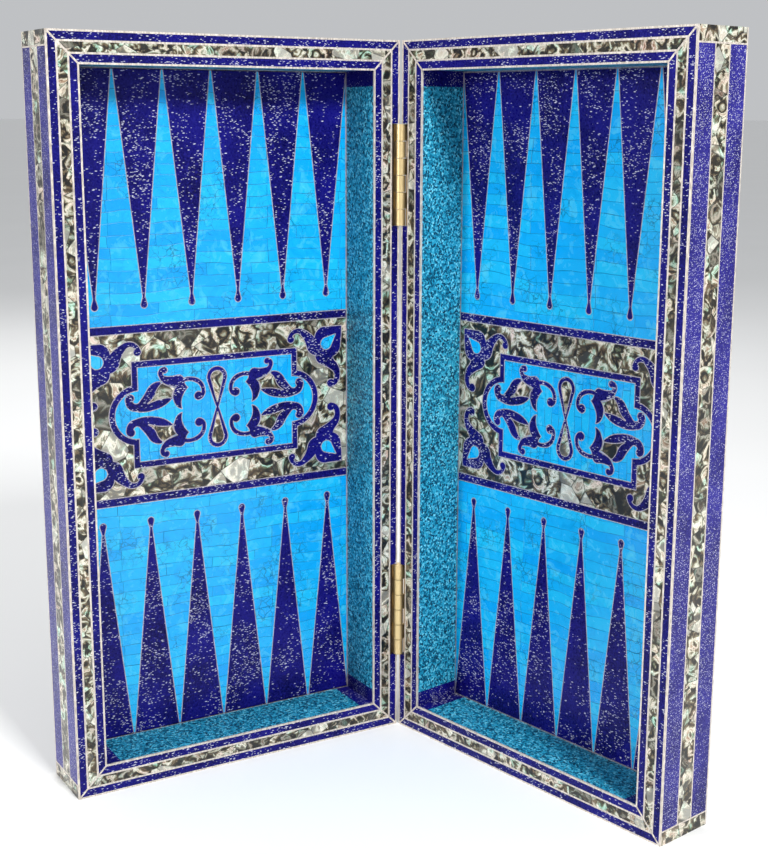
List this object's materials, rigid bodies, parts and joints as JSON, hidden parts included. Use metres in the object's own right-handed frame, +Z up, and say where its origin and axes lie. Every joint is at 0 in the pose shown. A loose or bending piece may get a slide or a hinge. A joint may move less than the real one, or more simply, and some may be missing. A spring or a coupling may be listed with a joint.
{
  "type": "backgammon case",
  "caption": "Inlaid folding backgammon case: hinged wooden trays veneered with blue stone, shell and fine wire, standing open on their short ends.",
  "frame": {"origin": "middle of the open case's footprint, on the surface that it stands on", "axes": "+Z up along the hinge pins; +Y towards the left tray's back; the left tray's rim faces -Y and the hinge is on its +X side"},
  "size_m": [0.3398, 0.2934, 0.5],
  "materials": {
    "wood": "oiled hardwood",
    "lapis": "polished",
    "turquoise": "polished slips with fine veins",
    "crushed_turquoise": "satin, crushed stone in resin",
    "shell": "polished shell chips",
    "inlay_wire": "flush, polished",
    "brass": "bright"
  },
  "bodies": {
    "left_tray": {"left_arabesques_lapis": "lapis", "left_back_lapis": "lapis", "left_back_shell": "shell", "left_bands_lapis": "lapis", "left_base_board": "wood", "left_bottom_rail": "wood", "left_cartouche_frame": "lapis", "left_cartouche_turquoise": "turquoise", "left_centre_shell": "shell", "left_closing_stile": "wood", "left_corner_drops": "turquoise", "left_corners_lapis": "lapis", "left_floor_turquoise": "turquoise", "left_floor_wires": "inlay_wire", "left_hinge_screws": "brass", "left_hinge_stile": "wood", "left_lower_hinge_leaf": "brass", "left_outer_wires": "inlay_wire", "left_points_lapis": "lapis", "left_rim_lapis": "lapis", "left_rim_shell": "shell", "left_rim_wires": "inlay_wire", "left_shell_drops": "shell", "left_side_lapis": "lapis", "left_side_shell": "shell", "left_top_rail": "wood", "left_upper_hinge_leaf": "brass", "left_wall_lapis": "lapis", "left_wall_turquoise": "crushed_turquoise", "hinge_pins": "brass"},
    "right_tray": {"right_arabesques_lapis": "lapis", "right_back_lapis": "lapis", "right_back_shell": "shell", "right_bands_lapis": "lapis", "right_base_board": "wood", "right_bottom_rail": "wood", "right_cartouche_frame": "lapis", "right_cartouche_turquoise": "turquoise", "right_centre_shell": "shell", "right_closing_stile": "wood", "right_corner_drops": "turquoise", "right_corners_lapis": "lapis", "right_floor_turquoise": "turquoise", "right_floor_wires": "inlay_wire", "right_hinge_screws": "brass", "right_hinge_stile": "wood", "right_lower_hinge_leaf": "brass", "right_outer_wires": "inlay_wire", "right_points_lapis": "lapis", "right_rim_lapis": "lapis", "right_rim_shell": "shell", "right_rim_wires": "inlay_wire", "right_shell_drops": "shell", "right_side_lapis": "lapis", "right_side_shell": "shell", "right_top_rail": "wood", "right_upper_hinge_leaf": "brass", "right_wall_lapis": "lapis", "right_wall_turquoise": "crushed_turquoise"}
  },
  "joints": [
    {"name": "case_hinge", "type": "hinge", "parent": "left_tray", "child": "right_tray", "pos_m": [0.08008, 0.09951, 0], "axis": [0, 0, 1], "range_deg": [-100, 80]}
  ]
}
